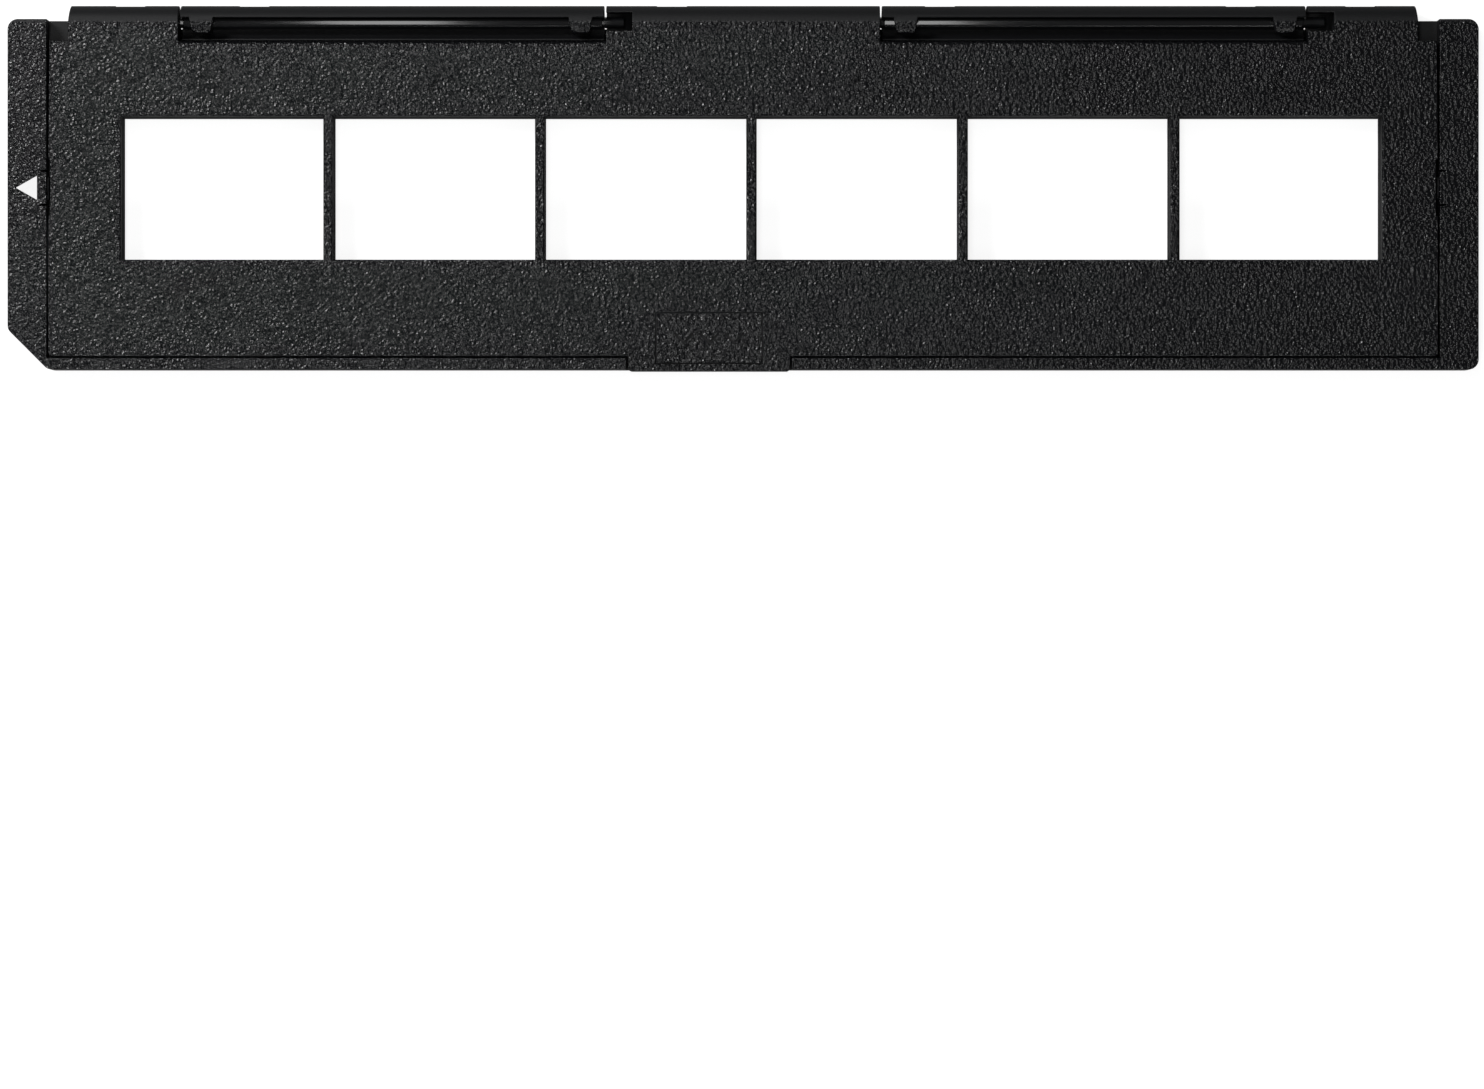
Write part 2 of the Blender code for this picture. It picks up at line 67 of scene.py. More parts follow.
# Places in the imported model
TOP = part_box("tray")[1].z
LID_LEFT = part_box("lid")[0].x
HINGE = frame["joints"][0]["pos_m"]
AXIS_Y, AXIS_Z = HINGE[1], HINGE[2]
BARREL_RADIUS = TOP / 2
RODS = {side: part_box(f"hinge_rod_{side}") for side in ("left", "right")}
WINDOWS = [opening["box_m"] for opening in frame["record"]["physics"]["openings"]]
WINDOW_MIDDLES = [(low[0] + high[0]) / 2 for low, high in WINDOWS]
ROW_Y = (WINDOWS[0][0][1] + WINDOWS[0][1][1]) / 2
PIN_LENGTH = 3.9 * MM
GAP = 0.35 * MM  # between a knuckle of the lid and a cradle of the tray
CRADLES = [(low.x + PIN_LENGTH - GAP, high.x - PIN_LENGTH + GAP) for low, high in RODS.values()]
LID_BACK = AXIS_Y - 3.5 * MM  # the lid's edge between the knuckles
CHANNEL_RADIUS = 0.62 * BARREL_RADIUS  # the channel that a rod lies in
PAD_MIDDLE = (-6.1 * MM, -26.95 * MM)
PAD_SIZE = (19.4 * MM, 9.4 * MM)
ARROW_TO_LID = 2.0 * MM
GATES = {"tray": (-87.9 * MM, 35.4 * MM, 89.5 * MM), "lid": (-110.2 * MM, -12.8 * MM, 111.0 * MM)}

# Mesh work
MERGE = 0.001 * MM
CLEAN = 0.06 * MM  # edges shorter than this are closed before the others are rounded
HAIR = 0.06 * MM  # a gap too small to see, which keeps two faces from sharing a plane
FLAT = math.radians(0.5)
SHARP = math.radians(35)
SMOOTH_UNDER = math.radians(40)
OVER = 0.5 * MM  # how far a cutter stands out of the face that it cuts
DIGIT_SHARE = 0.7  # height of a digit of the built-in font, as a share of the font's size
WINDOW_RIM_X = 2 * MM  # the rounding reaches this far past the first and the last window
WINDOW_RIM_Y = 14 * MM  # and this far from the windows' centreline
LIP_START = 2.3 * MM  # how far in front of the hinge axis a cradle's lip starts
LIP_END = 0.9 * MM
LIP_STEPS = 6
TROUGH_STEPS = 6
ROD_SIDES = 48
ARROW_CORNER = 0.15 * MM
INK_THICKNESS = 0.02 * MM

# Material work
MIX_COLOURS = (6, 7)  # the inputs of a Mix node that hold its two colours
MIX_RESULT = 2  # the output of a Mix node that gives a colour
GRAIN_CENTRE = 0.5  # the middle of the noise, which leaves the surface where it is
GRAIN_FADE = (0.9 * MM, 0.6 * MM)  # how deep below an outer face the grain has ended, and starts to end
POLISH_EDGE = 0.1 * BARREL_RADIUS  # half the width of the change from grained to polished
PEBBLE_ROUGHNESS = 0.15
WALL_ROUGHNESS = 0.55  # of the smooth walls and recesses
DIE_LINES = 0.3 * MM  # the spacing of the lines along a rod
DIE_STRETCH = 0.02  # the share of the pattern's detail that is left along the rod, which makes it lines
DIE_DEPTH = 0.004 * MM
ROD_ROUGHNESS = (0.08, 0.16)
INK_RELIEF = 0.02 * MM
PAPER_FIBRE = 2 * MM
PAPER_TOOTH = 0.01 * MM

# Studio
WHITE = (1, 1, 1, 1)
FLOOR_REACH = 4.0
FLOOR_GLOW = 0.86
# painted light: the arrow's ink glows though it is no lamp, so that the print looks brighter
INK_PAINTED_GLOW = 0.35
WORLD_STRENGTH = 0.06
LENS_MM = 129.8
CAMERA_PLACE = (-0.2 * MM, ROW_Y - 64.0 * MM, TOP + 0.96)


def linear(code):
    """The linear RGB of an sRGB hex colour."""
    parts = [int(code[index:index + 2], 16) / 255 for index in (0, 2, 4)]
    return tuple(part / 12.92 if part <= 0.04045 else ((part + 0.055) / 1.055) ** 2.4 for part in parts)


class CarrierSizes(bpy.types.PropertyGroup):
    """Sizes of the finished surfaces."""

    edge_radius: bpy.props.FloatProperty(
        name="Edge radius", description="Rounding of the mouldings' outer edges",
        default=0.14 * MM, unit="LENGTH",
    )
    window_radius: bpy.props.FloatProperty(
        name="Window edge radius", description="Rounding of the lid round each window",
        default=0.35 * MM, unit="LENGTH",
    )
    trough_radius: bpy.props.FloatProperty(
        name="Trough edge radius", description="Rounding of the lid's edge beside the rods",
        default=0.8 * MM, unit="LENGTH",
    )
    digit_height: bpy.props.FloatProperty(
        name="Digit height", description="Height of the frame numbers on the lid",
        default=4.2 * MM, unit="LENGTH",
    )
    gate_length: bpy.props.FloatProperty(
        name="Gate length", description="Length of each trimmed flat on the outer side of the hinge",
        default=5.4 * MM, unit="LENGTH",
    )
    gate_depth: bpy.props.FloatProperty(
        name="Gate depth", description="How far each trimmed flat is cut back",
        default=0.2 * MM, unit="LENGTH",
    )
    knuckle_slant: bpy.props.FloatProperty(
        name="Knuckle slant", description="How far the outermost knuckle ends lean in per unit of their width",
        default=0.1,
    )
    lip_clearance: bpy.props.FloatProperty(
        name="Lip clearance", description="Room between a knuckle and the lip under its end",
        default=0.06 * MM, unit="LENGTH",
    )
    groove_width: bpy.props.FloatProperty(
        name="Groove width", description="Width of the groove round the finger pad",
        default=0.3 * MM, unit="LENGTH",
    )
    groove_depth: bpy.props.FloatProperty(
        name="Groove depth", description="Depth of the groove and of the chevrons below the lid's top",
        default=0.9 * MM, unit="LENGTH",
    )
    chevron_size: bpy.props.FloatProperty(
        name="Chevron size", description="Width of each chevron cut into the finger pad",
        default=3.4 * MM, unit="LENGTH",
    )
    chevron_pitch: bpy.props.FloatProperty(
        name="Chevron pitch", description="Distance between two chevrons",
        default=4.5 * MM, unit="LENGTH",
    )
    chevron_stroke: bpy.props.FloatProperty(
        name="Chevron stroke", description="Thickness of a chevron's arms",
        default=0.45 * MM, unit="LENGTH",
    )
    pin_radius: bpy.props.FloatProperty(
        name="Pin radius", description="Radius of the pins at the ends of the rods",
        default=1.0 * MM, unit="LENGTH",
    )
    digit_depth: bpy.props.FloatProperty(
        name="Digit depth", description="How deep the frame numbers are cut",
        default=0.4 * MM, unit="LENGTH",
    )
    digit_reach: bpy.props.FloatProperty(
        name="Digit reach", description="From the windows' centreline to the middle of the frame numbers",
        default=19.4 * MM, unit="LENGTH",
    )
    arrow_length: bpy.props.FloatProperty(
        name="Arrow length", description="Length of the printed insertion arrow",
        default=3.8 * MM, unit="LENGTH",
    )
    arrow_width: bpy.props.FloatProperty(
        name="Arrow width", description="Width of the printed insertion arrow",
        default=4.3 * MM, unit="LENGTH",
    )
    rod_edge_radius: bpy.props.FloatProperty(
        name="Rod edge radius", description="Rounding of the rods' shoulders and ends",
        default=0.2 * MM, unit="LENGTH",
    )


class CarrierFinish(bpy.types.PropertyGroup):
    """Colours and surface grain."""

    moulding: bpy.props.FloatVectorProperty(
        name="Moulding", description="Colour of the tray and the lid",
        subtype="COLOR", default=linear("0e0f12"),
    )
    rod: bpy.props.FloatVectorProperty(
        name="Rod", description="Colour of the hinge rods",
        subtype="COLOR", default=linear("161719"),
    )
    ink: bpy.props.FloatVectorProperty(
        name="Ink", description="Colour of the printed arrow where its ink is thick",
        subtype="COLOR", default=linear("f9f9f9"),
    )
    thin_ink: bpy.props.FloatVectorProperty(
        name="Thin ink", description="Colour of the printed arrow where its ink is thin",
        subtype="COLOR", default=linear("eaeaea"),
    )
    floor: bpy.props.FloatVectorProperty(
        name="Floor", description="Colour of the studio floor",
        subtype="COLOR", default=linear("c8c8c8"),
    )
    grain: bpy.props.FloatProperty(
        name="Grain", description="Width of one pebble of the spark-eroded grain",
        default=0.6 * MM, unit="LENGTH",
    )
    grain_depth: bpy.props.FloatProperty(
        name="Grain depth", description="Height of the grain from valley to crest",
        default=0.34 * MM, unit="LENGTH",
    )


# Mesh helpers


def put_in_scene(shape, name, body, material, replaced=()):
    """Turns a bmesh into a finished piece that rides on a body of the model."""
    mesh = bpy.data.meshes.new(name)
    shape.to_mesh(mesh)
    shape.free()
    piece = bpy.data.objects.new(name, mesh)
    bpy.context.scene.collection.objects.link(piece)
    mesh.materials.append(material)
    mesh.shade_smooth()
    mesh.set_sharp_from_angle(angle=SMOOTH_UNDER)
    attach(piece, body)
    if replaced:
        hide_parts(*replaced)
    return piece


def merged_copy(node):
    """A copy of a node of the model with its loose triangles merged into whole flat faces."""
    shape = bmesh.new()
    shape.from_mesh(frame["nodes"][node].data)
    bmesh.ops.remove_doubles(shape, verts=shape.verts, dist=MERGE)
    bmesh.ops.dissolve_limit(shape, angle_limit=FLAT, verts=shape.verts, edges=shape.edges)
    bmesh.ops.remove_doubles(shape, verts=shape.verts, dist=CLEAN)
    return shape


def outer_edges(shape, chosen):
    """The sharp outward edges of a shape whose two ends both pass a test."""
    return [
        edge for edge in shape.edges
        if edge.is_convex and edge.calc_face_angle(0) > SHARP and all(chosen(vert.co) for vert in edge.verts)
    ]


def round_edges(shape, edges, radius, segments):
    """Rounds some edges of a shape."""
    bmesh.ops.bevel(
        shape, geom=edges, offset=radius, offset_type="OFFSET", segments=segments, profile=0.5,
        affect="EDGES", clamp_overlap=False, material=-1,
    )


def weighted_normals(piece):
    """Keeps the flat faces flat between their rounded edges."""
    modifier = piece.modifiers.new("flat_faces", "WEIGHTED_NORMAL")
    modifier.keep_sharp = True
    modifier.weight = 100


def beside_rod(place):
    """True inside the channel of a rod, where nothing is rounded."""
    return math.hypot(place.y - AXIS_Y, place.z - AXIS_Z) < CHANNEL_RADIUS


def arc(centre, radius, start, end, steps=4):
    """Points along an arc, from one angle in degrees to another."""
    angles = [math.radians(start + (end - start) * step / steps) for step in range(steps + 1)]
    return [(centre[0] + radius * math.cos(a), centre[1] + radius * math.sin(a)) for a in angles]


def prism(shape, corners, push):
    """Adds a closed prism to a shape: a flat outline pushed along a vector."""
    base = shape.faces.new([shape.verts.new(corner) for corner in corners])
    pushed = bmesh.ops.extrude_face_region(shape, geom=[base])
    moved = [item for item in pushed["geom"] if isinstance(item, bmesh.types.BMVert)]
    bmesh.ops.translate(shape, verts=moved, vec=push)
    bmesh.ops.recalc_face_normals(shape, faces=shape.faces)


def cut(piece, shape):
    """Cuts every solid of a shape out of a piece."""
    mesh = bpy.data.meshes.new("cutter")
    shape.to_mesh(mesh)
    shape.free()
    cutter = bpy.data.objects.new("cutter", mesh)
    bpy.context.scene.collection.objects.link(cutter)
    boolean = piece.modifiers.new("cut", "BOOLEAN")
    boolean.operation = "DIFFERENCE"
    boolean.object = cutter
    bpy.context.view_layer.update()
    evaluated = piece.evaluated_get(bpy.context.evaluated_depsgraph_get())
    piece.data = bpy.data.meshes.new_from_object(evaluated)
    piece.modifiers.remove(boolean)
    bpy.data.objects.remove(cutter)


# Cutters


def add_gate_cutters(shape, sizes, owner):
    """The cutters that leave a trimmed flat where each gate fed the outer side of the hinge."""
    inner = AXIS_Y + BARREL_RADIUS - sizes.gate_depth
    outer = AXIS_Y + BARREL_RADIUS + OVER
    for middle in GATES[owner]:
        low, high = middle - sizes.gate_length / 2, middle + sizes.gate_length / 2
        corners = [(low, inner, -OVER), (high, inner, -OVER), (high, outer, -OVER), (low, outer, -OVER)]
        prism(shape, corners, (0, 0, TOP + 2 * OVER))


def box_cutter(shape, x, y, depth):
    """A straight cutter that sinks part of the top by a depth, between two values of x and two of y."""
    corners = [(x[0], y[0]), (x[1], y[0]), (x[1], y[1]), (x[0], y[1])]
    prism(shape, [(*corner, TOP - depth) for corner in corners], (0, 0, depth + OVER))


def add_pad_cutters(shape, sizes):
    """The cutters of the groove round the finger pad and of the chevrons on it."""
    half_x, half_y = PAD_SIZE[0] / 2, PAD_SIZE[1] / 2
    groove = sizes.groove_width
    across = (PAD_MIDDLE[0] - half_x, PAD_MIDDLE[0] + half_x)
    along = (PAD_MIDDLE[1] - half_y + groove + HAIR, PAD_MIDDLE[1] + half_y - groove - HAIR)
    for sign in (-1, 1):
        x, y = PAD_MIDDLE[0] + sign * half_x, PAD_MIDDLE[1] + sign * half_y
        box_cutter(shape, across, sorted((y, y - sign * groove)), sizes.groove_depth)
        box_cutter(shape, sorted((x, x - sign * groove)), along, sizes.groove_depth)
    half = sizes.chevron_size / 2
    arm = sizes.chevron_stroke * math.sqrt(2)
    tip = PAD_MIDDLE[1] - (half + arm) / 2
    for step in (-1, 0, 1):
        x = PAD_MIDDLE[0] + step * sizes.chevron_pitch
        corners = [
            (x - half, tip + half), (x, tip), (x + half, tip + half),
            (x + half, tip + half + arm), (x, tip + arm), (x - half, tip + half + arm),
        ]
        floor = TOP - sizes.groove_depth
        prism(shape, [(*corner, floor) for corner in corners], (0, 0, sizes.groove_depth + OVER))


def add_trough_cutters(shape, sizes):
    """The cutters that round the lid's edge beside each rod."""
    radius = sizes.trough_radius
    section = [(LID_BACK - radius, TOP + OVER)]
    section += arc((LID_BACK - radius, TOP - radius), radius, 90, 0, TROUGH_STEPS)
    section += [(LID_BACK + OVER, TOP - radius), (LID_BACK + OVER, TOP + OVER)]
    for low, high in CRADLES:
        start, end = low - GAP + HAIR, high + GAP - HAIR
        prism(shape, [(start, y, z) for y, z in section], (end - start, 0, 0))


def add_digit_cutters(shape, sizes):
    """The cutters of the frame numbers above the lid's windows."""
    low_y = ROW_Y + sizes.digit_reach - sizes.digit_height / 2
    for number, middle in enumerate(WINDOW_MIDDLES, start=1):
        curve = bpy.data.curves.new(f"digit_{number}", "FONT")
        curve.body = str(number)
        curve.size = sizes.digit_height / DIGIT_SHARE
        curve.align_x = "CENTER"
        curve.extrude = sizes.digit_depth
        text = bpy.data.objects.new(curve.name, curve)
        bpy.context.scene.collection.objects.link(text)
        bpy.context.view_layer.update()
        mesh = bpy.data.meshes.new_from_object(text.evaluated_get(bpy.context.evaluated_depsgraph_get()))
        mesh.transform(Matrix.Translation((middle, low_y, TOP)))
        shape.from_mesh(mesh)
        bpy.data.objects.remove(text)
    bmesh.ops.remove_doubles(shape, verts=shape.verts, dist=MERGE)


# Materials


def fill(tree, node, inputs):
    """Gives inputs of a node, by name or number, a value each, or a link from another node's output."""
    for name, given in inputs.items():
        if isinstance(given, bpy.types.NodeSocket):
            tree.links.new(node.inputs[name], given)
        else:
            node.inputs[name].default_value = given


def add(tree, kind, inputs, **settings):
    """Adds a node with its settings, and fills its inputs."""
    node = tree.nodes.new(kind)
    for name, value in settings.items():
        setattr(node, name, value)
    fill(tree, node, inputs)
    return node


def new_material(name):
    """An empty plastic: the material, its node tree, its shader and the place that its patterns are read at."""
    material = bpy.data.materials.new(name)
    material.use_nodes = True
    tree = material.node_tree
    place = add(tree, "ShaderNodeTexCoord", {}).outputs["Object"]
    return material, tree, tree.nodes["Principled BSDF"], place


def moulded_black_abs(name, finish):
    """Injection-moulded ABS from a spark-eroded tool.

    The tool's pits leave rounded pebbles of about half a millimetre, so the near-black surface glitters where
    a pebble's flank faces the light. The tool was polished round the hinge, and its walls and recesses were
    drawn smooth, so those faces have no pebbles and a softer gloss.
    """
    material, tree, shader, place = new_material(name)
    pebbles = add(
        tree, "ShaderNodeTexNoise",
        {"Vector": place, "Scale": 1 / finish.grain, "Detail": 1.0, "Roughness": 0.5},
    )
    level = add(
        tree, "ShaderNodeMath", {0: pebbles.outputs["Fac"], 1: GRAIN_CENTRE}, operation="SUBTRACT",
    )

    along = add(tree, "ShaderNodeSeparateXYZ", {"Vector": place})
    band = add(tree, "ShaderNodeMapRange", {
        "Value": along.outputs["Y"], "From Min": AXIS_Y - POLISH_EDGE, "From Max": AXIS_Y + POLISH_EDGE,
        "To Min": 1.0, "To Max": 0.0,
    })
    height = add(tree, "ShaderNodeMath", {0: along.outputs["Z"], 1: TOP / 2}, operation="SUBTRACT")
    from_middle = add(tree, "ShaderNodeMath", {0: height.outputs["Value"]}, operation="ABSOLUTE")
    ended, ending = (TOP / 2 - depth for depth in GRAIN_FADE)
    outside = add(tree, "ShaderNodeMapRange", {
        "Value": from_middle.outputs["Value"], "From Min": ended, "From Max": ending,
        "To Min": 0.0, "To Max": 1.0,
    })
    grained = add(
        tree, "ShaderNodeMath", {0: outside.outputs["Result"], 1: band.outputs["Result"]},
        operation="MULTIPLY",
    )
    relief = add(
        tree, "ShaderNodeMath", {0: level.outputs["Value"], 1: grained.outputs["Value"]},
        operation="MULTIPLY",
    )
    grain = add(
        tree, "ShaderNodeBump", {"Height": relief.outputs["Value"], "Distance": finish.grain_depth},
    )
    rough = add(tree, "ShaderNodeMapRange", {
        "Value": grained.outputs["Value"], "From Min": 0.0, "From Max": 1.0,
        "To Min": WALL_ROUGHNESS, "To Max": PEBBLE_ROUGHNESS,
    })
    fill(tree, shader, {
        "Base Color": (*finish.moulding, 1), "IOR": 1.5,
        "Normal": grain.outputs["Normal"], "Roughness": rough.outputs["Result"],
    })
    return material


def drawn_black_acetal(finish):
    """Drawn acetal rod: smooth and glossy, with faint lines along it from the die.

    Real lines are some hundredths of a millimetre apart, and are drawn coarser here so that they show. The
    index of refraction is above acetal's own 1.48, to match the strong shine of the polished rod.
    """
    material, tree, shader, place = new_material("drawn_black_acetal")
    stretch = add(tree, "ShaderNodeMapping", {"Vector": place, "Scale": (DIE_STRETCH, 1, 1)})
    lines = add(
        tree, "ShaderNodeTexNoise",
        {"Vector": stretch.outputs["Vector"], "Scale": 1 / DIE_LINES, "Detail": 2.0},
    )
    drawn = add(
        tree, "ShaderNodeBump", {"Height": lines.outputs["Fac"], "Distance": DIE_DEPTH, "Strength": 0.5},
    )
    smoothest, roughest = ROD_ROUGHNESS
    rough = add(
        tree, "ShaderNodeMapRange",
        {"Value": lines.outputs["Fac"], "To Min": smoothest, "To Max": roughest},
    )
    fill(tree, shader, {
        "Base Color": (*finish.rod, 1), "IOR": 1.85,
        "Normal": drawn.outputs["Normal"], "Roughness": rough.outputs["Result"],
    })
    return material


def pad_printed_ink(finish):
    """Pad-printed ink: a thin matte film, which keeps a trace of the grain under it, with a painted glow that
    lifts its white
    """
    material, tree, shader, place = new_material("pad_printed_ink")
    under = add(
        tree, "ShaderNodeTexNoise", {"Vector": place, "Scale": 1 / finish.grain, "Detail": 2.0},
    )
    trace = add(
        tree, "ShaderNodeBump", {"Height": under.outputs["Fac"], "Distance": INK_RELIEF, "Strength": 0.6},
    )
    thin, thick = MIX_COLOURS
    tint = add(
        tree, "ShaderNodeMix",
        {"Factor": under.outputs["Fac"], thin: (*finish.thin_ink, 1), thick: (*finish.ink, 1)},
        data_type="RGBA",
    )
    # The emission is a painted glow: it brightens the printed ink, which is no lamp
    fill(tree, shader, {
        "Base Color": tint.outputs[MIX_RESULT], "IOR": 1.5, "Roughness": 0.55,
        "Normal": trace.outputs["Normal"], "Emission Color": WHITE, "Emission Strength": INK_PAINTED_GLOW,
    })
    return material


def studio_paper(finish):
    """White background paper: matte, with a faint fibre that only just breaks up the light.

    It glows for the camera only, so it looks white and throws no light of its own on the object.
    """
    material, tree, shader, place = new_material("studio_paper")
    fibre = add(
        tree, "ShaderNodeTexNoise", {"Vector": place, "Scale": 1 / PAPER_FIBRE, "Detail": 3.0},
    )
    tooth = add(
        tree, "ShaderNodeBump", {"Height": fibre.outputs["Fac"], "Distance": PAPER_TOOTH, "Strength": 0.3},
    )
    seen = add(tree, "ShaderNodeLightPath", {})
    glow = add(
        tree, "ShaderNodeMath", {0: seen.outputs["Is Camera Ray"], 1: FLOOR_GLOW}, operation="MULTIPLY",
    )
    fill(tree, shader, {
        "Base Color": (*finish.floor, 1), "IOR": 1.45, "Roughness": 0.9,
        "Normal": tooth.outputs["Normal"],
        "Emission Color": WHITE, "Emission Strength": glow.outputs["Value"],
    })
    return material


# Operators


class CARRIER_OT_tray(bpy.types.Operator):
    """Build the tray moulding with rounded edges and its moulded grain"""

    bl_idname = "carrier.tray"
    bl_label = "Tray"

    def execute(self, context):
        """Copies the tray of the model, rounds its edges and adds a lip under the ends of the knuckles."""
        sizes = context.scene.carrier_sizes
        shape = merged_copy("tray")
        edges = outer_edges(shape, lambda place: not beside_rod(place))
        round_edges(shape, edges, sizes.edge_radius, segments=2)
        material = moulded_black_abs("grained_black_abs_tray", context.scene.carrier_finish)
        piece = put_in_scene(shape, "tray_moulding", "tray", material, ["tray"])
        cutters = bmesh.new()
        add_gate_cutters(cutters, sizes, "tray")
        cut(piece, cutters)
        weighted_normals(piece)

        lips = bmesh.new()
        sweep = BARREL_RADIUS + sizes.lip_clearance
        curve = []
        for step in range(LIP_STEPS + 1):
            back = LIP_START + (LIP_END - LIP_START) * step / LIP_STEPS
            curve.append((AXIS_Y - back, AXIS_Z - math.sqrt(sweep ** 2 - back ** 2)))
        section = [(AXIS_Y - LIP_START, 0)] + curve + [(AXIS_Y - LIP_END, 0)]
        for low, high in CRADLES:
            for start in (low - 2 * GAP, high - GAP):
                prism(lips, [(start, y, z) for y, z in section], (3 * GAP, 0, 0))
        put_in_scene(lips, "cradle_lips", "tray", material)
        return {"FINISHED"}


class CARRIER_OT_lid(bpy.types.Operator):
    """Build the lid moulding with rounded edges, frame numbers and its moulded grain"""

    bl_idname = "carrier.lid"
    bl_label = "Lid"

    def execute(self, context):
        """Copies the lid of the model, slants its outermost ends, rounds its edges and cuts its marks."""
        sizes = context.scene.carrier_sizes
        shape = merged_copy("lid")
        hinge_end = max(abs(vert.co.x) for vert in shape.verts if vert.co.y > AXIS_Y)
        for vert in shape.verts:
            if vert.co.y > LID_BACK - MERGE and abs(vert.co.x) > hinge_end - MERGE:
                turn_in = sizes.knuckle_slant * (vert.co.y - AXIS_Y + BARREL_RADIUS / 2)
                vert.co.x -= math.copysign(turn_in, vert.co.x)

        def beside_window(place):
            """True on the top of the lid round its windows."""
            inside_y = abs(place.y - ROW_Y) < WINDOW_RIM_Y
            inside_x = WINDOWS[0][0][0] - WINDOW_RIM_X < place.x < WINDOWS[-1][1][0] + WINDOW_RIM_X
            return place.z > TOP - MERGE and inside_y and inside_x

        round_edges(shape, outer_edges(shape, beside_window), sizes.window_radius, segments=3)
        edges = outer_edges(shape, lambda place: not beside_rod(place))
        round_edges(shape, edges, sizes.edge_radius, segments=2)
        material = moulded_black_abs("grained_black_abs_lid", context.scene.carrier_finish)
        piece = put_in_scene(shape, "lid_moulding", "lid", material, ["lid"])
        cutters = bmesh.new()
        add_digit_cutters(cutters, sizes)
        add_gate_cutters(cutters, sizes, "lid")
        add_pad_cutters(cutters, sizes)
        add_trough_cutters(cutters, sizes)
        cut(piece, cutters)
        weighted_normals(piece)
        return {"FINISHED"}


class CARRIER_OT_rods(bpy.types.Operator):
    """Build the two turned hinge rods"""

    bl_idname = "carrier.rods"
    bl_label = "Hinge rods"

    def execute(self, context):
        """Spins a rod's profile about the hinge axis for each rod of the model."""
        sizes = context.scene.carrier_sizes
        material = drawn_black_acetal(context.scene.carrier_finish)
        for side in ("left", "right"):
            low, high = RODS[side]
            radius = (high.y - low.y) / 2
            pin = sizes.pin_radius
            edge = sizes.rod_edge_radius
            profile = [(low.x, 0)]
            profile += arc((low.x + edge, pin - edge), edge, 180, 90)
            profile += [(low.x + PIN_LENGTH, pin)]
            profile += arc((low.x + PIN_LENGTH + edge, radius - edge), edge, 180, 90)
            profile += arc((high.x - PIN_LENGTH - edge, radius - edge), edge, 90, 0)
            profile += [(high.x - PIN_LENGTH, pin)]
            profile += arc((high.x - edge, pin - edge), edge, 90, 0)
            profile += [(high.x, 0)]
            shape = bmesh.new()
            verts = [shape.verts.new((x, AXIS_Y, AXIS_Z + r)) for x, r in profile]
            edges = [shape.edges.new(pair) for pair in zip(verts, verts[1:])]
            bmesh.ops.spin(
                shape, geom=verts + edges, cent=(0, AXIS_Y, AXIS_Z), axis=(1, 0, 0),
                angle=math.tau, steps=ROD_SIDES, use_merge=True,
            )
            bmesh.ops.remove_doubles(shape, verts=shape.verts, dist=MERGE)
            bmesh.ops.recalc_face_normals(shape, faces=shape.faces)
            put_in_scene(
                shape, f"turned_rod_{side}", "tray", material, [f"hinge_rod_{side}"],
            )
        return {"FINISHED"}


class CARRIER_OT_arrow(bpy.types.Operator):
    """Print the insertion arrow on the tray's left margin"""

    bl_idname = "carrier.arrow"
    bl_label = "Insertion arrow"

    def execute(self, context):
        """Builds the ink as a thin film on the margin."""
        sizes = context.scene.carrier_sizes
        base_x = LID_LEFT - ARROW_TO_LID
        tip_x = base_x - sizes.arrow_length
        half = sizes.arrow_width / 2
        shape = bmesh.new()
        corners = [(tip_x, ROW_Y), (base_x, ROW_Y - half), (base_x, ROW_Y + half)]
        verts = [shape.verts.new((x, y, TOP)) for x, y in corners]
        shape.faces.new(verts)
        bmesh.ops.bevel(
            shape, geom=verts, offset=ARROW_CORNER, offset_type="OFFSET", segments=3, profile=0.5,
            affect="VERTICES", clamp_overlap=False, material=-1,
        )
        film = bmesh.ops.extrude_face_region(shape, geom=list(shape.faces))
        top = [item for item in film["geom"] if isinstance(item, bmesh.types.BMVert)]
        bmesh.ops.translate(shape, verts=top, vec=(0, 0, INK_THICKNESS))
        bmesh.ops.recalc_face_normals(shape, faces=shape.faces)
        material = pad_printed_ink(context.scene.carrier_finish)
        put_in_scene(shape, "insertion_arrow", "tray", material)
        return {"FINISHED"}


def area_light(name, place, target, size, watts):
    """A rectangular soft light aimed at a point."""
    light = bpy.data.lights.new(name, "AREA")
    light.shape = "RECTANGLE"
    light.size, light.size_y = size
    light.energy = watts
    lamp = bpy.data.objects.new(name, light)
    lamp.location = place
    lamp.rotation_euler = (Vector(target) - Vector(place)).to_track_quat("-Z", "Y").to_euler()
    bpy.context.scene.collection.objects.link(lamp)
    return lamp


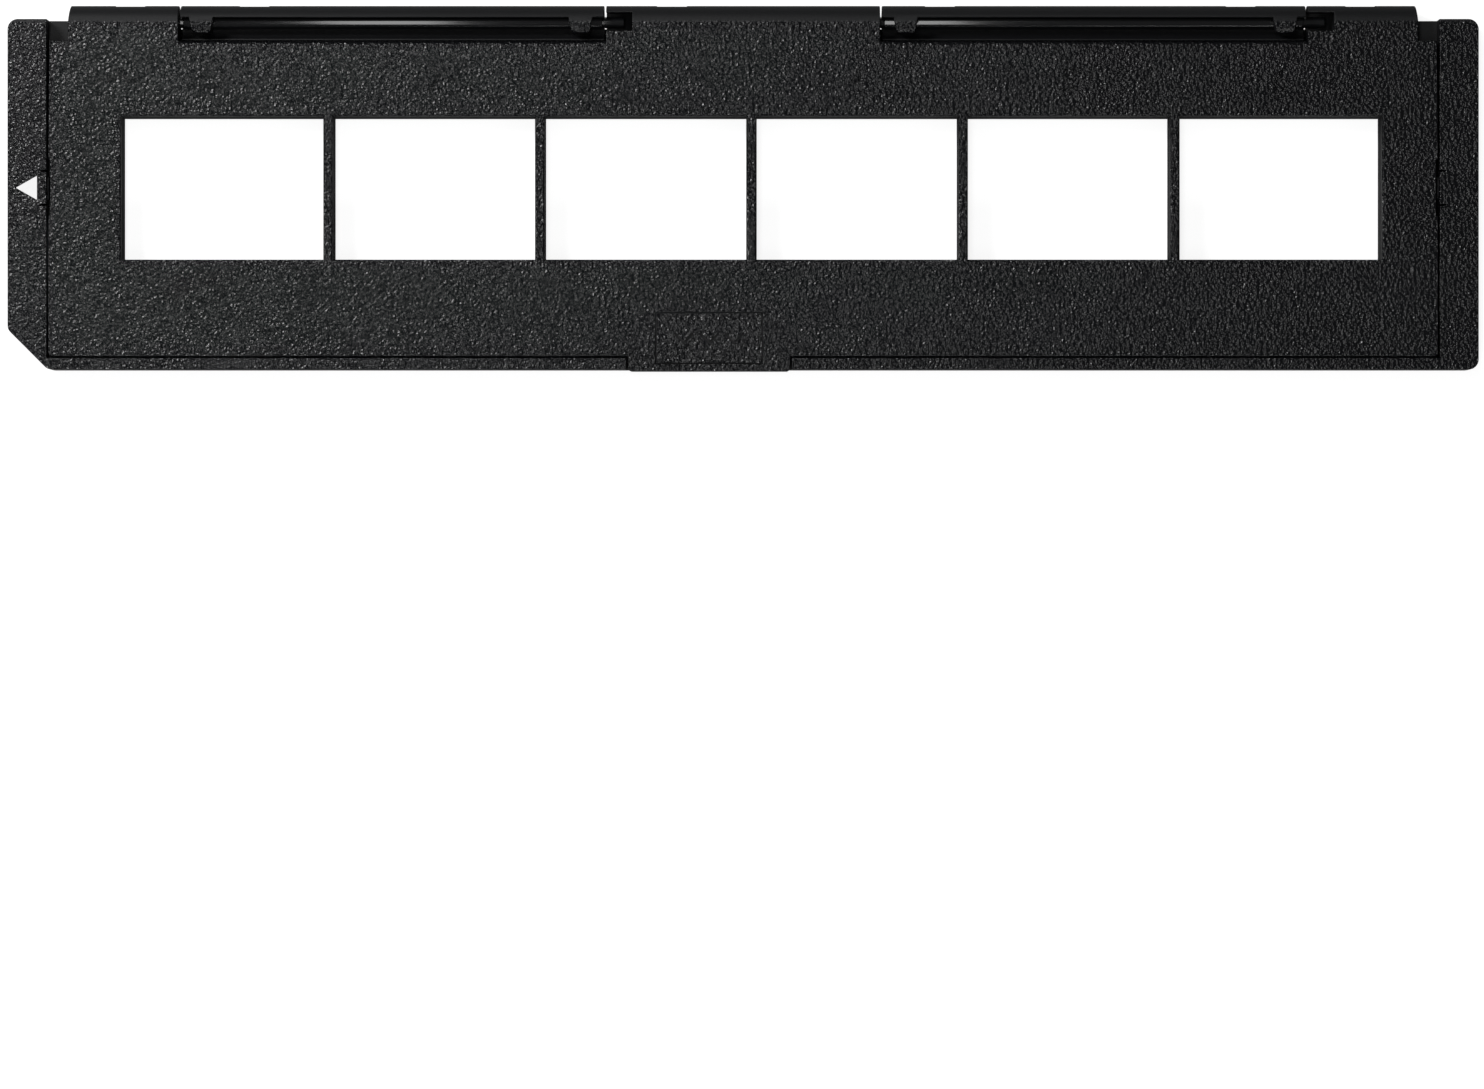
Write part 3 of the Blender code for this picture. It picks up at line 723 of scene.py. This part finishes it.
class CARRIER_OT_stage(bpy.types.Operator):
    """Set the floor, the soft lights and the camera"""

    bl_idname = "carrier.stage"
    bl_label = "Stage"

    def execute(self, context):
        """Builds the studio."""
        scene = context.scene
        shape = bmesh.new()
        bmesh.ops.create_grid(shape, x_segments=1, y_segments=1, size=FLOOR_REACH)
        bmesh.ops.translate(shape, verts=shape.verts, vec=(0, 0, -HAIR))
        mesh = bpy.data.meshes.new("floor")
        shape.to_mesh(mesh)
        shape.free()
        floor = bpy.data.objects.new("floor", mesh)
        mesh.materials.append(studio_paper(scene.carrier_finish))
        scene.collection.objects.link(floor)

        world = bpy.data.worlds.new("studio")
        world.use_nodes = True
        background = world.node_tree.nodes["Background"]
        fill(world.node_tree, background, {"Color": WHITE, "Strength": WORLD_STRENGTH})
        scene.world = world
        # A long strip gives the mouldings their sheen, a box behind the left end picks out the grain, and a
        # low strip in front draws the line of light along the rods.
        area_light(
            "strip_overhead", place=(-0.157, 0, 1.15), target=(-0.157, 0, 0), size=(0.195, 1.4), watts=2.6,
        )
        area_light(
            "softbox_left", place=(-0.62, 0.42, 0.66), target=(-0.05, 0, 0), size=(0.3, 0.3), watts=4.0,
        )
        area_light(
            "strip_front", place=(0.1, -0.85, 0.45), target=(0, 0, 0), size=(1.2, 0.12), watts=1.9,
        )

        lens = bpy.data.cameras.new("camera")
        lens.sensor_width = 36
        lens.lens = LENS_MM
        lens.clip_start = 0.01
        camera = bpy.data.objects.new("camera", lens)
        camera.location = CAMERA_PLACE
        scene.collection.objects.link(camera)
        scene.camera = camera
        scene.view_settings.view_transform = "Standard"
        return {"FINISHED"}


class CARRIER_PT_panel(bpy.types.Panel):
    """The carrier's sizes, finish and build steps."""

    bl_idname = "CARRIER_PT_panel"
    bl_label = "Negative Carrier"
    bl_space_type = "VIEW_3D"
    bl_region_type = "UI"
    bl_category = "Carrier"

    def draw(self, context):
        """Lists every property and every step."""
        for group in (context.scene.carrier_sizes, context.scene.carrier_finish):
            column = self.layout.column()
            for name in group.__annotations__:
                column.prop(group, name)
        for operator in OPERATORS:
            self.layout.operator(operator.bl_idname)


OPERATORS = (CARRIER_OT_tray, CARRIER_OT_lid, CARRIER_OT_rods, CARRIER_OT_arrow, CARRIER_OT_stage)
CLASSES = (CarrierSizes, CarrierFinish, *OPERATORS, CARRIER_PT_panel)


def register():
    """Registers the classes and their settings."""
    for item in CLASSES:
        bpy.utils.register_class(item)
    bpy.types.Scene.carrier_sizes = bpy.props.PointerProperty(type=CarrierSizes)
    bpy.types.Scene.carrier_finish = bpy.props.PointerProperty(type=CarrierFinish)


def unregister():
    """Removes them again."""
    del bpy.types.Scene.carrier_finish
    del bpy.types.Scene.carrier_sizes
    for item in reversed(CLASSES):
        bpy.utils.unregister_class(item)


def main():
    """Builds every piece and the stage."""
    register()
    bpy.ops.carrier.tray()
    bpy.ops.carrier.lid()
    bpy.ops.carrier.rods()
    bpy.ops.carrier.arrow()
    bpy.ops.carrier.stage()


if __name__ == "__main__":
    main()
